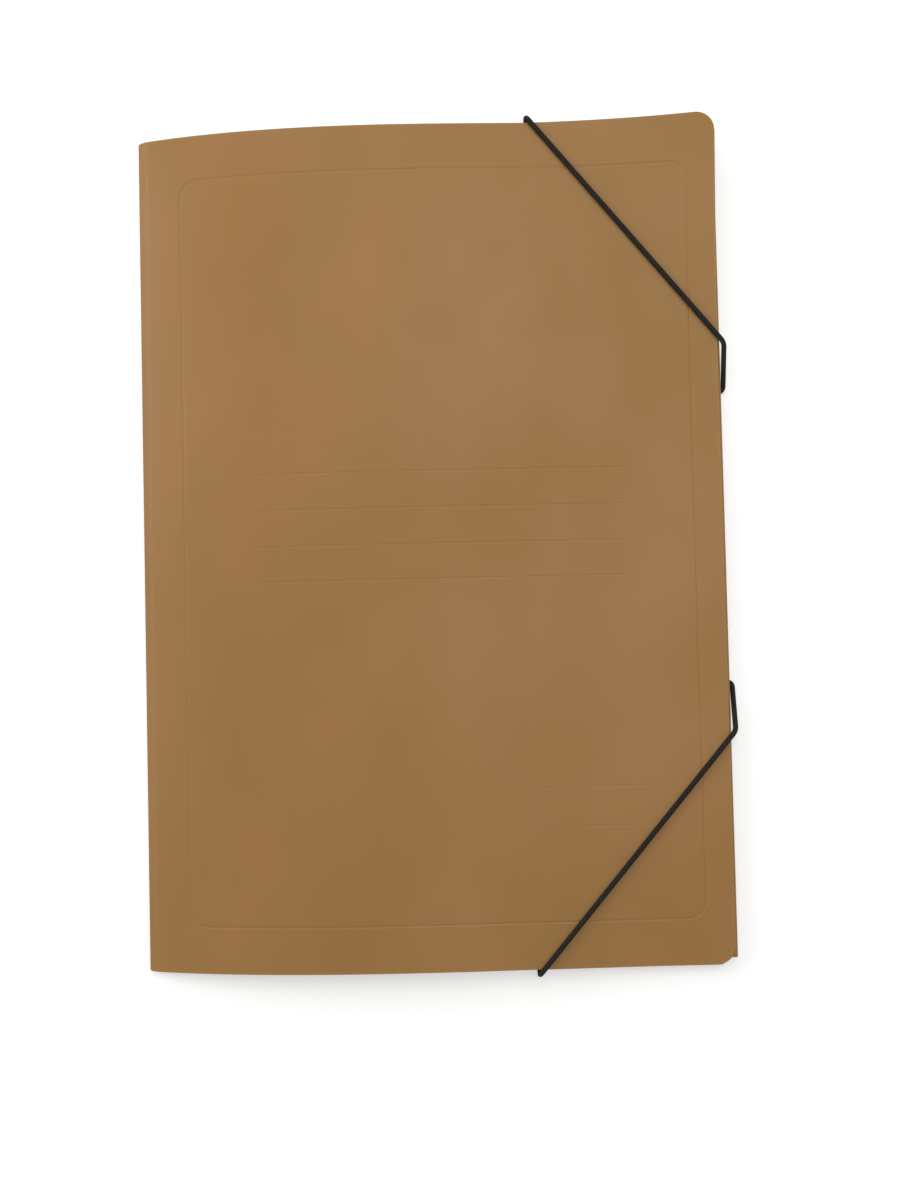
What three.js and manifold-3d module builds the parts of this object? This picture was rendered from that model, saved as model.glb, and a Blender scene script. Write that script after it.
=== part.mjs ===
// A three-flap folder of creased pressboard, closed by an elastic strap across each outer corner.
// Millimetres. It lies on its back: +X runs from the spine to the fore edge, +Y to the top edge, +Z up.
// Inside the file x is measured from the spine's middle crease and y from the middle of the spine.
import * as THREE from 'three';
import { mergeVertices } from 'three/addons/utils/BufferGeometryUtils.js';
import Module from 'manifold-3d';

// The folder and its card
const WIDTH = 243;            // spine's middle crease to the folded fore edge
const LENGTH = 350;           // top edge to bottom edge
const CARD = 0.6;             // thickness of the pressboard
const CLEARANCE = 0.3;        // gap kept between pieces that lie against each other

// The spine: two facets that meet at the middle crease, on which the cover turns
const SPINE_FACET = 4.5;      // width of each facet along the card
const SPINE_RISE = 4.9;       // height from the back crease to the cover crease
const CREASE_RELIEF = 0.75;   // each facet stops this far short of the hinge line

// The front cover, which arches up from the spine and is held down at the fore edge
const COVER_ARCH = 10;        // height of the arch above its chord
const COVER_SETBACK = 1;      // cover's fore edge behind the folded fore edge
const COVER_SHORTENING = 0.5; // the cover is this much short of each end of the back panel
const COVER_CORNER = 8;       // radius of the cover's two outer corners

// The three inner flaps
const END_FLAP_DEPTH = 95;    // top and bottom flaps
const END_FLAP_START = 12;    // from the spine crease to the end flaps
const END_FLAP_STOP = 6;      // from the fore edge to the end flaps
const END_FLAP_TAPER = 8;     // how far each side of an end flap draws in by its free edge
const END_FLAP_CORNER = 12;   // radius of an end flap's free corners
const FORE_FLAP_DEPTH = 108;
const FORE_FLAP_TAPER = 8;
const FORE_FLAP_CORNER = 15;
const UPPER_CORNER_CUT = 6;   // the fore fold stops this far short of the top edge
const LOWER_CORNER_CUT = 2.5; // and this far short of the bottom edge
const LIFT_RUN = 75;          // the back panel rises from the table onto the straps over this width
const LIFT_MARGIN = 5;        // and has risen this far before the fore flap's free edge

// The elastic straps, one loop round each outer corner
const CORD = 2.2;             // diameter of the braided elastic
const CORD_BEND = 2;          // how far before a corner the elastic starts to turn
const EYELET_INSET = 10;      // eyelet's centre behind the fore edge
const CORD_PLAY = 0.2;        // between the two strands in the eyelet, and between them and its bore
// Measured from the strap's own end of the folder: the eyelet, where the strap turns round the fore edge
// from behind, and where it comes onto the cover. Last, from the fore edge to where it crosses the end.
const UPPER_STRAP = { end: 1, eyelet: 116.7, turnsBehind: 113.5, ontoCover: 94.5, crossesEnd: 78 };
const LOWER_STRAP = { end: -1, eyelet: 116.7, turnsBehind: 115, ontoCover: 95.5, crossesEnd: 81 };

// The eyelets and the clips on the elastic's ends
const EYELET_WALL = 0.25;
const EYELET_LIP = 1.45;      // how far the flanges stand out from the barrel
const EYELET_SEAT = 0.05;     // gap between a flange and the card
const EYELET_PLAY = 0.15;     // gap between the barrel and its hole
const CLIP_LENGTH = 7;
const CLIP_OVERHANG = 0.25;   // how far each side of the clip passes the eyelet's bore
const CLIP_HEIGHT = 1;
const CLIP_WALL = 0.25;
const CLIP_GAP = 0.1;         // between the eyelet and the clip

// Sizes that follow. Heights are those of the middle of the card's thickness, above the back panel's
// own rest at the spine, before the panel is lifted by the straps behind it.
const HALF_LENGTH = LENGTH / 2;
const COVER_HALF = HALF_LENGTH - COVER_SHORTENING;
const SPINE_DEPTH = Math.sqrt(SPINE_FACET ** 2 - (SPINE_RISE / 2) ** 2);
const PANEL_LEVEL = CARD / 2;
const HINGE_LEVEL = PANEL_LEVEL + SPINE_RISE / 2;
const COVER_CREASE_LEVEL = PANEL_LEVEL + SPINE_RISE;
const CORD_PITCH = CORD + CORD_PLAY;
const EYELET_BORE = (CORD_PITCH + CORD) / 2 + CORD_PLAY; // radius
const EYELET_FLANGE = EYELET_BORE + EYELET_WALL + EYELET_LIP; // radius
const CLIP_WIDTH = 2 * (EYELET_BORE + CLIP_OVERHANG);
const PANEL_LIFT = CORD + CLEARANCE + EYELET_WALL + EYELET_SEAT;
const LIFT_END = WIDTH - FORE_FLAP_DEPTH - LIFT_MARGIN;
const LIFT_START = LIFT_END - LIFT_RUN;
const CLIP_SEAT = CARD / 2 + EYELET_SEAT + EYELET_WALL + CLIP_GAP;
const END_FOLD = (CARD + CLEARANCE) / 2;
const FORE_FOLD = (CLIP_SEAT + CLIP_HEIGHT + CLEARANCE + CARD / 2) / 2;
const FORE_FLAP_LEVEL = PANEL_LEVEL + 2 * FORE_FOLD;
const COVER_EDGE_LEVEL = PANEL_LIFT + FORE_FLAP_LEVEL + CARD + CLEARANCE;
const COVER_REACH = WIDTH - COVER_SETBACK;
const PANEL_END = WIDTH - CARD / 2 - FORE_FOLD;
const PANEL_TOP = HALF_LENGTH - CARD / 2 - END_FOLD;

const pressboard = new THREE.MeshStandardMaterial({ color: 0x9b774c, roughness: 0.45 });
const elastic = new THREE.MeshStandardMaterial({ color: 0x262422, roughness: 0.85 });
const plating = new THREE.MeshStandardMaterial({ color: 0xb9b4a8, roughness: 0.3, metalness: 1 });

const smooth = (t) => t * t * (3 - 2 * t);
const ramp = (value, from, to) => Math.min(1, Math.max(0, (value - from) / (to - from)));
const steps = (count) => Array.from({ length: count + 1 }, (_, i) => i / count);
const span = (from, to, count) => steps(count).map((share) => from + (to - from) * share);

// How far the back panel stands off the table at x: flat at the spine, on the straps at the fore edge
const lift = (x) => PANEL_LIFT * smooth(ramp(x, LIFT_START, LIFT_END));

// How much a rounded corner of this radius takes off the side, at a distance before the free edge
function rounding(radius, before) {
  if (before >= radius) return 0;
  return radius - Math.sqrt(Math.max(0, radius ** 2 - (radius - before) ** 2));
}

// A half turn of the card about a fold line: where the card's middle lies at a distance past the line,
// as the way out from the line, the height gained and the turn so far
function foldOver(past, radius) {
  const turn = Math.min(Math.PI, past / radius);
  const back = Math.max(0, past - Math.PI * radius);
  return { out: radius * Math.sin(turn) - back, up: radius * (1 - Math.cos(turn)), turn };
}

// A closed solid of card. The flat pattern is the cells of a grid for which keep says yes, and place
// gives the middle of the card's thickness and the direction of its upper face for a pattern point.
function cardSolid(us, vs, keep, place) {
  const positions = [];
  const index = [];
  for (const u of us) {
    for (const v of vs) {
      const { middle, upper } = place(u, v);
      positions.push(...middle.clone().addScaledVector(upper, CARD / 2));
      positions.push(...middle.clone().addScaledVector(upper, -CARD / 2));
    }
  }
  const top = (i, j) => 2 * (i * vs.length + j);
  const under = (i, j) => top(i, j) + 1;
  const kept = (i, j) =>
    i >= 0 && j >= 0 && i < us.length - 1 && j < vs.length - 1 &&
    keep((us[i] + us[i + 1]) / 2, (vs[j] + vs[j + 1]) / 2);
  const quad = (a, b, c, d) => index.push(a, b, c, a, c, d);
  const wall = (i, j, k, l) => quad(top(i, j), under(i, j), under(k, l), top(k, l));
  for (let i = 0; i < us.length - 1; i++) {
    for (let j = 0; j < vs.length - 1; j++) {
      if (!kept(i, j)) continue;
      quad(top(i, j), top(i + 1, j), top(i + 1, j + 1), top(i, j + 1));
      quad(under(i, j), under(i, j + 1), under(i + 1, j + 1), under(i + 1, j));
      if (!kept(i, j - 1)) wall(i, j, i + 1, j);
      if (!kept(i + 1, j)) wall(i + 1, j, i + 1, j + 1);
      if (!kept(i, j + 1)) wall(i + 1, j + 1, i, j + 1);
      if (!kept(i - 1, j)) wall(i, j + 1, i, j);
    }
  }
  const geometry = new THREE.BufferGeometry();
  geometry.setAttribute('position', new THREE.Float32BufferAttribute(positions, 3));
  geometry.setIndex(index);
  return geometry;
}

// The back panel's sheet: lower spine facet, panel, fore fold and fore flap along u; the end folds and
// end flaps beyond the panel along v
const PANEL_START_U = SPINE_FACET;
const PANEL_END_U = PANEL_START_U + PANEL_END - SPINE_DEPTH;
const FORE_TURN = Math.PI * FORE_FOLD;
const END_TURN = Math.PI * END_FOLD;
const FORE_FLAP_FLAT = FORE_FLAP_DEPTH - FORE_FOLD;
const END_FLAP_FLAT = END_FLAP_DEPTH - END_FOLD;
const SHEET_END_U = PANEL_END_U + FORE_TURN + FORE_FLAP_FLAT;
const SHEET_END_V = PANEL_TOP + END_TURN + END_FLAP_FLAT;
const END_FLAP_FROM = SPINE_DEPTH + END_FLAP_START;
const END_FLAP_TO = WIDTH - END_FLAP_STOP;
const END_FLAP_CENTRE = (END_FLAP_FROM + END_FLAP_TO) / 2;
const END_FLAP_HALF = (END_FLAP_TO - END_FLAP_FROM) / 2;

const panelU = (x) => PANEL_START_U + x - SPINE_DEPTH;
const CORNER_CUT_U = panelU(END_FLAP_TO);

// The side of an end flap at a distance past the fold, as a share of its half width at the fold
function endFlapSide(past) {
  const share = ramp(past, END_TURN, END_TURN + END_FLAP_FLAT);
  const before = END_TURN + END_FLAP_FLAT - past;
  return (END_FLAP_HALF - END_FLAP_TAPER * share - rounding(END_FLAP_CORNER, before)) / END_FLAP_HALF;
}

// The end of the back panel, fore fold or fore flap at u, as a share of the panel's half length
function foreSide(u, cornerCut) {
  const cut = cornerCut * ramp(u, CORNER_CUT_U, PANEL_END_U);
  const share = ramp(u, PANEL_END_U + FORE_TURN, SHEET_END_U);
  const taper = FORE_FLAP_TAPER * share + rounding(FORE_FLAP_CORNER, SHEET_END_U - u);
  return (PANEL_TOP - cut - taper) / PANEL_TOP;
}

function placeBackSheet(u, v) {
  const end = Math.sign(v);
  const pastEnd = Math.abs(v) - PANEL_TOP;
  const middle = new THREE.Vector3(0, v, PANEL_LEVEL);
  const upper = new THREE.Vector3(0, 0, 1);
  if (u < PANEL_START_U) {
    const away = u / SPINE_FACET;
    middle.x = SPINE_DEPTH * away;
    middle.z = HINGE_LEVEL - (SPINE_RISE / 2) * away;
    upper.set(SPINE_RISE / 2, 0, SPINE_DEPTH).normalize();
  } else if (u <= PANEL_END_U) {
    middle.x = SPINE_DEPTH + u - PANEL_START_U;
  } else {
    const fold = foldOver(u - PANEL_END_U, FORE_FOLD);
    middle.x = PANEL_END + fold.out;
    middle.z = PANEL_LEVEL + fold.up;
    upper.set(-Math.sin(fold.turn), 0, Math.cos(fold.turn));
  }
  if (pastEnd > 0) {
    const fold = foldOver(pastEnd, END_FOLD);
    middle.y = end * (PANEL_TOP + fold.out);
    middle.z = PANEL_LEVEL + fold.up;
    middle.x = END_FLAP_CENTRE + (middle.x - END_FLAP_CENTRE) * endFlapSide(pastEnd);
    upper.set(0, -end * Math.sin(fold.turn), Math.cos(fold.turn));
  } else {
    middle.y *= foreSide(u, end > 0 ? UPPER_CORNER_CUT : LOWER_CORNER_CUT);
  }
  middle.z += lift(middle.x);
  return { middle, upper };
}

function keepBackSheet(u, v) {
  if (Math.abs(v) < PANEL_TOP) return true;
  return u > panelU(END_FLAP_FROM) && u < CORNER_CUT_U;
}

function backSheet() {
  const us = [
    CREASE_RELIEF,
    PANEL_START_U,
    panelU(END_FLAP_FROM),
    panelU(LIFT_START),
    ...span(panelU(LIFT_START), panelU(LIFT_END), 8).slice(1),
    CORNER_CUT_U - END_FLAP_CORNER,
    CORNER_CUT_U,
    PANEL_END_U,
    ...span(PANEL_END_U, PANEL_END_U + FORE_TURN, 8).slice(1),
    ...span(SHEET_END_U - FORE_FLAP_CORNER, SHEET_END_U, 5),
  ];
  const beyond = [
    ...span(PANEL_TOP, PANEL_TOP + END_TURN, 6),
    ...span(SHEET_END_V - END_FLAP_CORNER, SHEET_END_V, 5),
  ];
  const vs = [...beyond.map((v) => -v).reverse(), 0, ...beyond];
  return cardSolid(us, vs, keepBackSheet, placeBackSheet);
}

// The cover's sheet: upper spine facet, then the arched cover
const coverHeight = (x) => {
  const t = ramp(x, SPINE_DEPTH, COVER_REACH);
  const arch = (27 / 4) * t * (1 - t) ** 2; // rises to 1 a third of the way across, level at the fore edge
  return COVER_CREASE_LEVEL + (COVER_EDGE_LEVEL - COVER_CREASE_LEVEL) * t + COVER_ARCH * arch;
};

function placeCover(x, y) {
  const side = (COVER_HALF - rounding(COVER_CORNER, COVER_REACH - x)) / COVER_HALF;
  if (x < SPINE_DEPTH) {
    const height = HINGE_LEVEL + (SPINE_RISE / 2) * (x / SPINE_DEPTH);
    const upper = new THREE.Vector3(-SPINE_RISE / 2, 0, SPINE_DEPTH).normalize();
    return { middle: new THREE.Vector3(x, y * side, height), upper };
  }
  const step = CARD / 100;
  const slope = (coverHeight(x + step) - coverHeight(x - step)) / (2 * step);
  const upper = new THREE.Vector3(-slope, 0, 1).normalize();
  return { middle: new THREE.Vector3(x, y * side, coverHeight(x)), upper };
}

function cover() {
  const xs = [
    (CREASE_RELIEF * SPINE_DEPTH) / SPINE_FACET,
    ...span(SPINE_DEPTH, COVER_REACH - COVER_CORNER, 30),
    ...span(COVER_REACH - COVER_CORNER, COVER_REACH, 6).slice(1),
  ];
  return cardSolid(xs, [-COVER_HALF, 0, COVER_HALF], () => true, placeCover);
}

// A route along straight runs with its corners rounded. Its stations are close together only where it
// turns, and a point's share of the way along is counted in stations.
class StrapRoute extends THREE.Curve {
  constructor(corners) {
    super();
    this.stations = [corners[0]];
    for (let i = 1; i < corners.length - 1; i++) {
      const [before, corner, after] = [corners[i - 1], corners[i], corners[i + 1]];
      const reach = (other) => Math.min(CORD_BEND, corner.distanceTo(other) / 2);
      const enter = corner.clone().addScaledVector(before.clone().sub(corner).normalize(), reach(before));
      const leave = corner.clone().addScaledVector(after.clone().sub(corner).normalize(), reach(after));
      this.stations.push(...new THREE.QuadraticBezierCurve3(enter, corner, leave).getPoints(6));
    }
    this.stations.push(corners[corners.length - 1]);
  }
  get runs() {
    return this.stations.length - 1;
  }
  getPoint(share, target = new THREE.Vector3()) {
    const place = Math.min(share * this.runs, this.runs);
    const i = Math.min(Math.floor(place), this.runs - 1);
    return target.lerpVectors(this.stations[i], this.stations[i + 1], place - i);
  }
  getPointAt(share, target) {
    return this.getPoint(share, target);
  }
  getTangentAt(share, target = new THREE.Vector3()) {
    const i = Math.round(share * this.runs);
    const next = this.stations[Math.min(i + 1, this.runs)];
    const last = this.stations[Math.max(i - 1, 0)];
    return target.subVectors(next, last).normalize();
  }
}

const eyeletY = (strap) => strap.end * (HALF_LENGTH - strap.eyelet);
const eyeletAt = (strap) => new THREE.Vector2(WIDTH - EYELET_INSET, eyeletY(strap));

function strapSolid(strap) {
  const at = (x, fromEnd, z) => new THREE.Vector3(x, strap.end * (HALF_LENGTH - fromEnd), z);
  const hole = WIDTH - EYELET_INSET;
  const behind = CORD / 2;
  const inside = PANEL_LIFT + PANEL_LEVEL + CARD / 2 + EYELET_WALL;
  const standOff = CLEARANCE + CORD / 2;
  const outside = WIDTH + standOff;
  const crossing = WIDTH - strap.crossesEnd;
  const onCover = (x) => coverHeight(x) + CARD / 2 + standOff;
  const route = new StrapRoute([
    at(hole + CORD_PITCH / 2, strap.eyelet, inside),
    at(hole + CORD_PITCH / 2, strap.eyelet, behind),
    at(outside, strap.turnsBehind, behind),
    at(outside, strap.ontoCover, onCover(COVER_REACH)),
    at(crossing, -standOff, onCover(crossing)),
    at(crossing, -standOff, behind),
    at(hole - CORD_PITCH / 2, strap.eyelet, behind),
    at(hole - CORD_PITCH / 2, strap.eyelet, inside),
  ]);
  const section = new THREE.Shape().absarc(0, 0, CORD / 2, 0, 2 * Math.PI);
  return new THREE.ExtrudeGeometry(section, { extrudePath: route, steps: route.runs, curveSegments: 5 });
}

// A flanged tube, clenched over the card on both faces
function eyelet() {
  const half = CARD / 2 + EYELET_SEAT;
  const barrel = EYELET_BORE + EYELET_WALL;
  const profile = [
    [EYELET_BORE, -half - EYELET_WALL],
    [EYELET_FLANGE, -half - EYELET_WALL],
    [EYELET_FLANGE, -half],
    [barrel, -half],
    [barrel, half],
    [EYELET_FLANGE, half],
    [EYELET_FLANGE, half + EYELET_WALL],
    [EYELET_BORE, half + EYELET_WALL],
    [EYELET_BORE, -half - EYELET_WALL],
  ].map(([r, z]) => new THREE.Vector2(r, z));
  return new THREE.LatheGeometry(profile, 28).rotateX(Math.PI / 2);
}

// A metal tab folded flat over the elastic's ends, too wide to pass the eyelet
function clip() {
  const half = CLIP_WIDTH / 2;
  const top = CLIP_HEIGHT;
  const inner = half - CLIP_WALL;
  const corners = [
    [-half, 0], [half, 0], [half, top], [-half, top],
    [-half, top - CLIP_WALL], [inner, top - CLIP_WALL], [inner, CLIP_WALL], [-half, CLIP_WALL],
  ];
  const outline = new THREE.Shape(corners.map(([x, z]) => new THREE.Vector2(x, z)));
  const solid = new THREE.ExtrudeGeometry(outline, { depth: CLIP_LENGTH, bevelEnabled: false });
  return solid.translate(0, 0, -CLIP_LENGTH / 2).rotateX(Math.PI / 2);
}

const wasm = await Module();
wasm.setup();

function merged(geometry) {
  const weld = CARD / 1000;
  geometry.deleteAttribute('normal');
  geometry.deleteAttribute('uv');
  return mergeVertices(geometry, weld);
}

function solidOf(geometry) {
  const plain = merged(geometry);
  const vertProperties = new Float32Array(plain.attributes.position.array);
  const triVerts = new Uint32Array(plain.index.array);
  return new wasm.Manifold(new wasm.Mesh({ numProp: 3, vertProperties, triVerts }));
}

function geometryOf(solid) {
  const mesh = solid.getMesh();
  const geometry = new THREE.BufferGeometry();
  geometry.setAttribute('position', new THREE.Float32BufferAttribute(mesh.vertProperties, 3));
  geometry.setIndex(new THREE.Uint32BufferAttribute(mesh.triVerts, 1));
  return geometry;
}

// The back sheet with the eyelets' holes punched through the panel only
function punchedBackSheet() {
  let sheet = solidOf(backSheet());
  for (const strap of [UPPER_STRAP, LOWER_STRAP]) {
    const { x, y } = eyeletAt(strap);
    const radius = EYELET_BORE + EYELET_WALL + EYELET_PLAY;
    const punch = new THREE.CylinderGeometry(radius, radius, 2 * CARD, 28);
    punch.rotateX(Math.PI / 2).translate(x, y, PANEL_LIFT + PANEL_LEVEL);
    sheet = sheet.subtract(solidOf(punch));
  }
  return geometryOf(sheet);
}

const folder = new THREE.Group();
folder.position.x = -(WIDTH + CLEARANCE + CORD) / 2;

function add(name, geometry, material) {
  const mesh = new THREE.Mesh(geometry, material);
  mesh.name = name;
  folder.add(mesh);
  return mesh;
}

add('back_and_flaps', punchedBackSheet(), pressboard);
add('front_cover', merged(cover()), pressboard);
for (const [name, strap] of [['upper', UPPER_STRAP], ['lower', LOWER_STRAP]]) {
  const { x, y } = eyeletAt(strap);
  add(`elastic_${name}`, strapSolid(strap), elastic);
  add(`eyelet_${name}`, eyelet(), plating).position.set(x, y, PANEL_LIFT + PANEL_LEVEL);
  add(`clip_${name}`, clip(), plating).position.set(x, y, PANEL_LIFT + PANEL_LEVEL + CLIP_SEAT);
}

export default folder;
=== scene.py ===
"""Looks of a closed three flap folder: pressboard, two elastic corner straps, eyelets, clips.

Sizes are in millimetres and are turned to metres when a mesh is placed. The folder lies on its
back. Inside the classes x runs from the spine's middle crease to the fore edge, y from the middle
of the spine to the top edge and z up from the table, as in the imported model; SHEET_ORIGIN_X shifts
x into the shared frame.
"""

import logging
import math
from dataclasses import dataclass
from enum import Enum
from typing import Any, Callable

import bmesh
import bpy
import numpy as np
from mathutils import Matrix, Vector


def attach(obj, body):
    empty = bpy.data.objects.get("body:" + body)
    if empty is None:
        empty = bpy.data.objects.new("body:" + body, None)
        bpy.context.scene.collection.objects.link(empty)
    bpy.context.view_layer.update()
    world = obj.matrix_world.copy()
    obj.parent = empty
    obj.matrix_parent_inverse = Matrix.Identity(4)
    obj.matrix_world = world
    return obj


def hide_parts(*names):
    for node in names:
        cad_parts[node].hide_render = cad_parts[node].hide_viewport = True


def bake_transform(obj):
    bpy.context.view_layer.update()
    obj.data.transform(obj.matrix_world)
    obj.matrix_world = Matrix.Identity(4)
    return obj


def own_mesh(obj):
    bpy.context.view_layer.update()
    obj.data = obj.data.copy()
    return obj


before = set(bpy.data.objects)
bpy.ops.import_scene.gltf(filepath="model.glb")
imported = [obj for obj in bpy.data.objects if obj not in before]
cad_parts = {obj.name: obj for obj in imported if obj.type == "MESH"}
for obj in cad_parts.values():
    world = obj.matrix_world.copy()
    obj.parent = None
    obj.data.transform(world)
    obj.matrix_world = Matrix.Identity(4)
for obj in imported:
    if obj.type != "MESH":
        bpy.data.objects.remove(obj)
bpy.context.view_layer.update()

MM = 0.001
SHEET_ORIGIN_X = -122.75
PHOTO_WIDTH, PHOTO_HEIGHT = 903, 1200
ARCH_SCALE = 27 / 4  # brings the highest point of t * (1 - t) ** 2 to 1
CUT_EDGE_ROUND = 0.12  # how far a die-cut edge of the card is softened
SHARP_EDGE = 60.0  # degrees: the card's cut edges are sharper than this, its folds aren't
STRIP_EDGE = 50.0  # degrees: the same for metal strip
CLOSEST_STATIONS = 1 / 12

log = logging.getLogger("folder")


@dataclass(frozen=True)
class FolderSizes:
    """The folder's sizes in millimetres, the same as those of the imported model."""

    width: float = 243.0
    length: float = 350.0
    card: float = 0.6
    clearance: float = 0.3
    spine_facet: float = 4.5
    spine_rise: float = 4.9
    cover_arch: float = 10.0
    cover_setback: float = 1.0
    cover_shortening: float = 0.5
    cover_corner: float = 8.0
    end_flap_depth: float = 95.0
    end_flap_start: float = 12.0
    end_flap_stop: float = 6.0
    end_flap_taper: float = 8.0
    end_flap_corner: float = 12.0
    fore_flap_depth: float = 108.0
    fore_flap_taper: float = 8.0
    fore_flap_corner: float = 15.0
    upper_corner_cut: float = 6.0
    lower_corner_cut: float = 2.5
    lift_run: float = 75.0
    lift_margin: float = 5.0
    cord: float = 2.2
    cord_play: float = 0.2
    cord_bend: float = 2.0
    eyelet_inset: float = 10.0
    eyelet_wall: float = 0.25
    eyelet_lip: float = 1.45
    eyelet_seat: float = 0.05
    eyelet_play: float = 0.15
    clip_length: float = 7.0
    clip_height: float = 1.0
    clip_wall: float = 0.25
    clip_overhang: float = 0.25
    clip_gap: float = 0.1
    crease_strip: float = 1.3

    @property
    def half_length(self) -> float:
        """Half the folder's length."""
        return self.length / 2

    @property
    def spine_depth(self) -> float:
        """How far the spine's outer creases lie from its middle crease."""
        return math.sqrt(self.spine_facet**2 - (self.spine_rise / 2) ** 2)

    @property
    def panel_level(self) -> float:
        """Height of the middle of the back panel's card at the spine."""
        return self.card / 2

    @property
    def hinge_level(self) -> float:
        """Height of the spine's middle crease."""
        return self.panel_level + self.spine_rise / 2

    @property
    def cover_crease_level(self) -> float:
        """Height of the crease between spine and cover."""
        return self.panel_level + self.spine_rise

    @property
    def panel_lift(self) -> float:
        """How far the straps behind the panel raise it off the table."""
        return self.cord + self.clearance + self.eyelet_wall + self.eyelet_seat

    @property
    def cord_pitch(self) -> float:
        """Distance between the two strands in an eyelet."""
        return self.cord + self.cord_play

    @property
    def eyelet_bore(self) -> float:
        """Radius of an eyelet's bore."""
        return (self.cord_pitch + self.cord) / 2 + self.cord_play

    @property
    def clip_width(self) -> float:
        """Width of a clip, a little more than the bore."""
        return 2 * (self.eyelet_bore + self.clip_overhang)

    @property
    def clip_seat(self) -> float:
        """From the middle of the panel's card up to a clip's underside."""
        return self.card / 2 + self.eyelet_seat + self.eyelet_wall + self.clip_gap

    @property
    def end_fold(self) -> float:
        """Radius of the end folds, at the middle of the card."""
        return (self.card + self.clearance) / 2

    @property
    def fore_fold(self) -> float:
        """Radius of the fore fold, at the middle of the card."""
        return (self.clip_seat + self.clip_height + self.clearance + self.card / 2) / 2

    @property
    def cover_reach(self) -> float:
        """The cover's fore edge."""
        return self.width - self.cover_setback

    @property
    def cover_edge_level(self) -> float:
        """Height of the cover's card at its fore edge."""
        flap = self.panel_level + 2 * self.fore_fold
        return self.panel_lift + flap + self.card + self.clearance

    @property
    def panel_end(self) -> float:
        """Where the fore fold starts."""
        return self.width - self.card / 2 - self.fore_fold

    @property
    def panel_top(self) -> float:
        """Where the end folds start."""
        return self.half_length - self.card / 2 - self.end_fold

    @property
    def cover_half(self) -> float:
        """Half the cover's length."""
        return self.half_length - self.cover_shortening

    def ramp(self, value: np.ndarray, low: float, high: float) -> np.ndarray:
        """Share of the way from low to high, held at 0 and 1 outside them."""
        return np.clip((value - low) / (high - low), 0.0, 1.0)

    def lift(self, x: np.ndarray) -> np.ndarray:
        """How far the back panel stands off the table at x."""
        end = self.width - self.fore_flap_depth - self.lift_margin
        share = self.ramp(x, end - self.lift_run, end)
        return self.panel_lift * share * share * (3 - 2 * share)

    def cover_height(self, x: np.ndarray) -> np.ndarray:
        """Height of the middle of the arched cover's card at x."""
        share = self.ramp(x, self.spine_depth, self.cover_reach)
        arch = ARCH_SCALE * share * (1 - share) ** 2
        rise = (self.cover_edge_level - self.cover_crease_level) * share
        return self.cover_crease_level + rise + self.cover_arch * arch


SIZES = FolderSizes()


class StrapEnd(Enum):
    """The two corner straps, each by the end of the folder that it closes."""

    UPPER = 1
    LOWER = -1


@dataclass(frozen=True)
class StrapPlaces:
    """Where a strap passes, in millimetres from its own end of the folder or from the fore edge."""

    eyelet: float
    turns_behind: float
    onto_cover: float
    crosses_end: float


STRAPS = {
    StrapEnd.UPPER: StrapPlaces(116.7, 113.5, 94.5, 78.0),
    StrapEnd.LOWER: StrapPlaces(116.7, 115.0, 95.5, 81.0),
}


def linear(colour: str) -> tuple[float, float, float, float]:
    """Turns an sRGB hex colour to linear light.

    Args:
        colour: Six hex digits with a leading hash.

    Returns:
        Red, green, blue and alpha as Blender's colour sockets take them.
    """
    parts = [int(colour[i : i + 2], 16) / 255 for i in (1, 3, 5)]
    light = [c / 12.92 if c <= 0.04045 else ((c + 0.055) / 1.055) ** 2.4 for c in parts]
    return (*light, 1.0)


def clear_selection() -> None:
    """Leaves nothing selected, so that an operator acts only on what is chosen next."""
    if bpy.context.object and bpy.context.object.mode != "OBJECT":
        bpy.ops.object.mode_set(mode="OBJECT")
    bpy.ops.object.select_all(action="DESELECT")


def choose(piece: bpy.types.Object) -> None:
    """Makes one piece the only selected one and the active one."""
    clear_selection()
    bpy.context.view_layer.objects.active = piece
    piece.select_set(True)


def apply_modifier(piece: bpy.types.Object, kind: str, **settings: Any) -> None:
    """Adds a modifier to a piece and applies it.

    Args:
        piece: The mesh object.
        kind: Blender's name of the modifier's type.
        settings: The modifier's properties.
    """
    choose(piece)
    modifier = piece.modifiers.new(kind.title(), kind)
    for key, value in settings.items():
        setattr(modifier, key, value)
    bpy.ops.object.modifier_apply(modifier=modifier.name)


def points_of(piece: bpy.types.Object) -> np.ndarray:
    """The piece's vertices as an array of rows."""
    points = np.empty(len(piece.data.vertices) * 3)
    piece.data.vertices.foreach_get("co", points)
    return points.reshape(-1, 3)


def move_points(piece: bpy.types.Object, points: np.ndarray) -> None:
    """Gives the piece's vertices new places, in metres."""
    piece.data.vertices.foreach_set("co", points.astype(np.float32).ravel())
    piece.data.update()


def smooth_by_angle(piece: bpy.types.Object, degrees: float = 35.0) -> None:
    """Shades a piece smooth except across edges sharper than the angle."""
    choose(piece)
    bpy.ops.object.shade_smooth_by_angle(angle=math.radians(degrees))


def stations(
    low: float, high: float, step: float, near: list[tuple[float, float, float]]
) -> np.ndarray:
    """Grid stations that are wide apart in plain places and close together near details.

    Args:
        low: First station.
        high: Last station.
        step: Widest distance between two stations.
        near: Centre, half width and step of each detail.

    Returns:
        The stations in order, none closer than a twelfth of a millimetre.
    """
    places = [np.linspace(low, high, int(math.ceil((high - low) / step)) + 1)]
    for centre, half, fine in near:
        count = int(round(2 * half / fine)) + 1
        places.append(np.linspace(centre - half, centre + half, count))
    every = np.unique(np.clip(np.concatenate(places), low, high))
    kept = [every[0]]
    for place in every[1:]:
        if place - kept[-1] > CLOSEST_STATIONS:
            kept.append(place)
    kept[-1] = high
    return np.array(kept)


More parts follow.
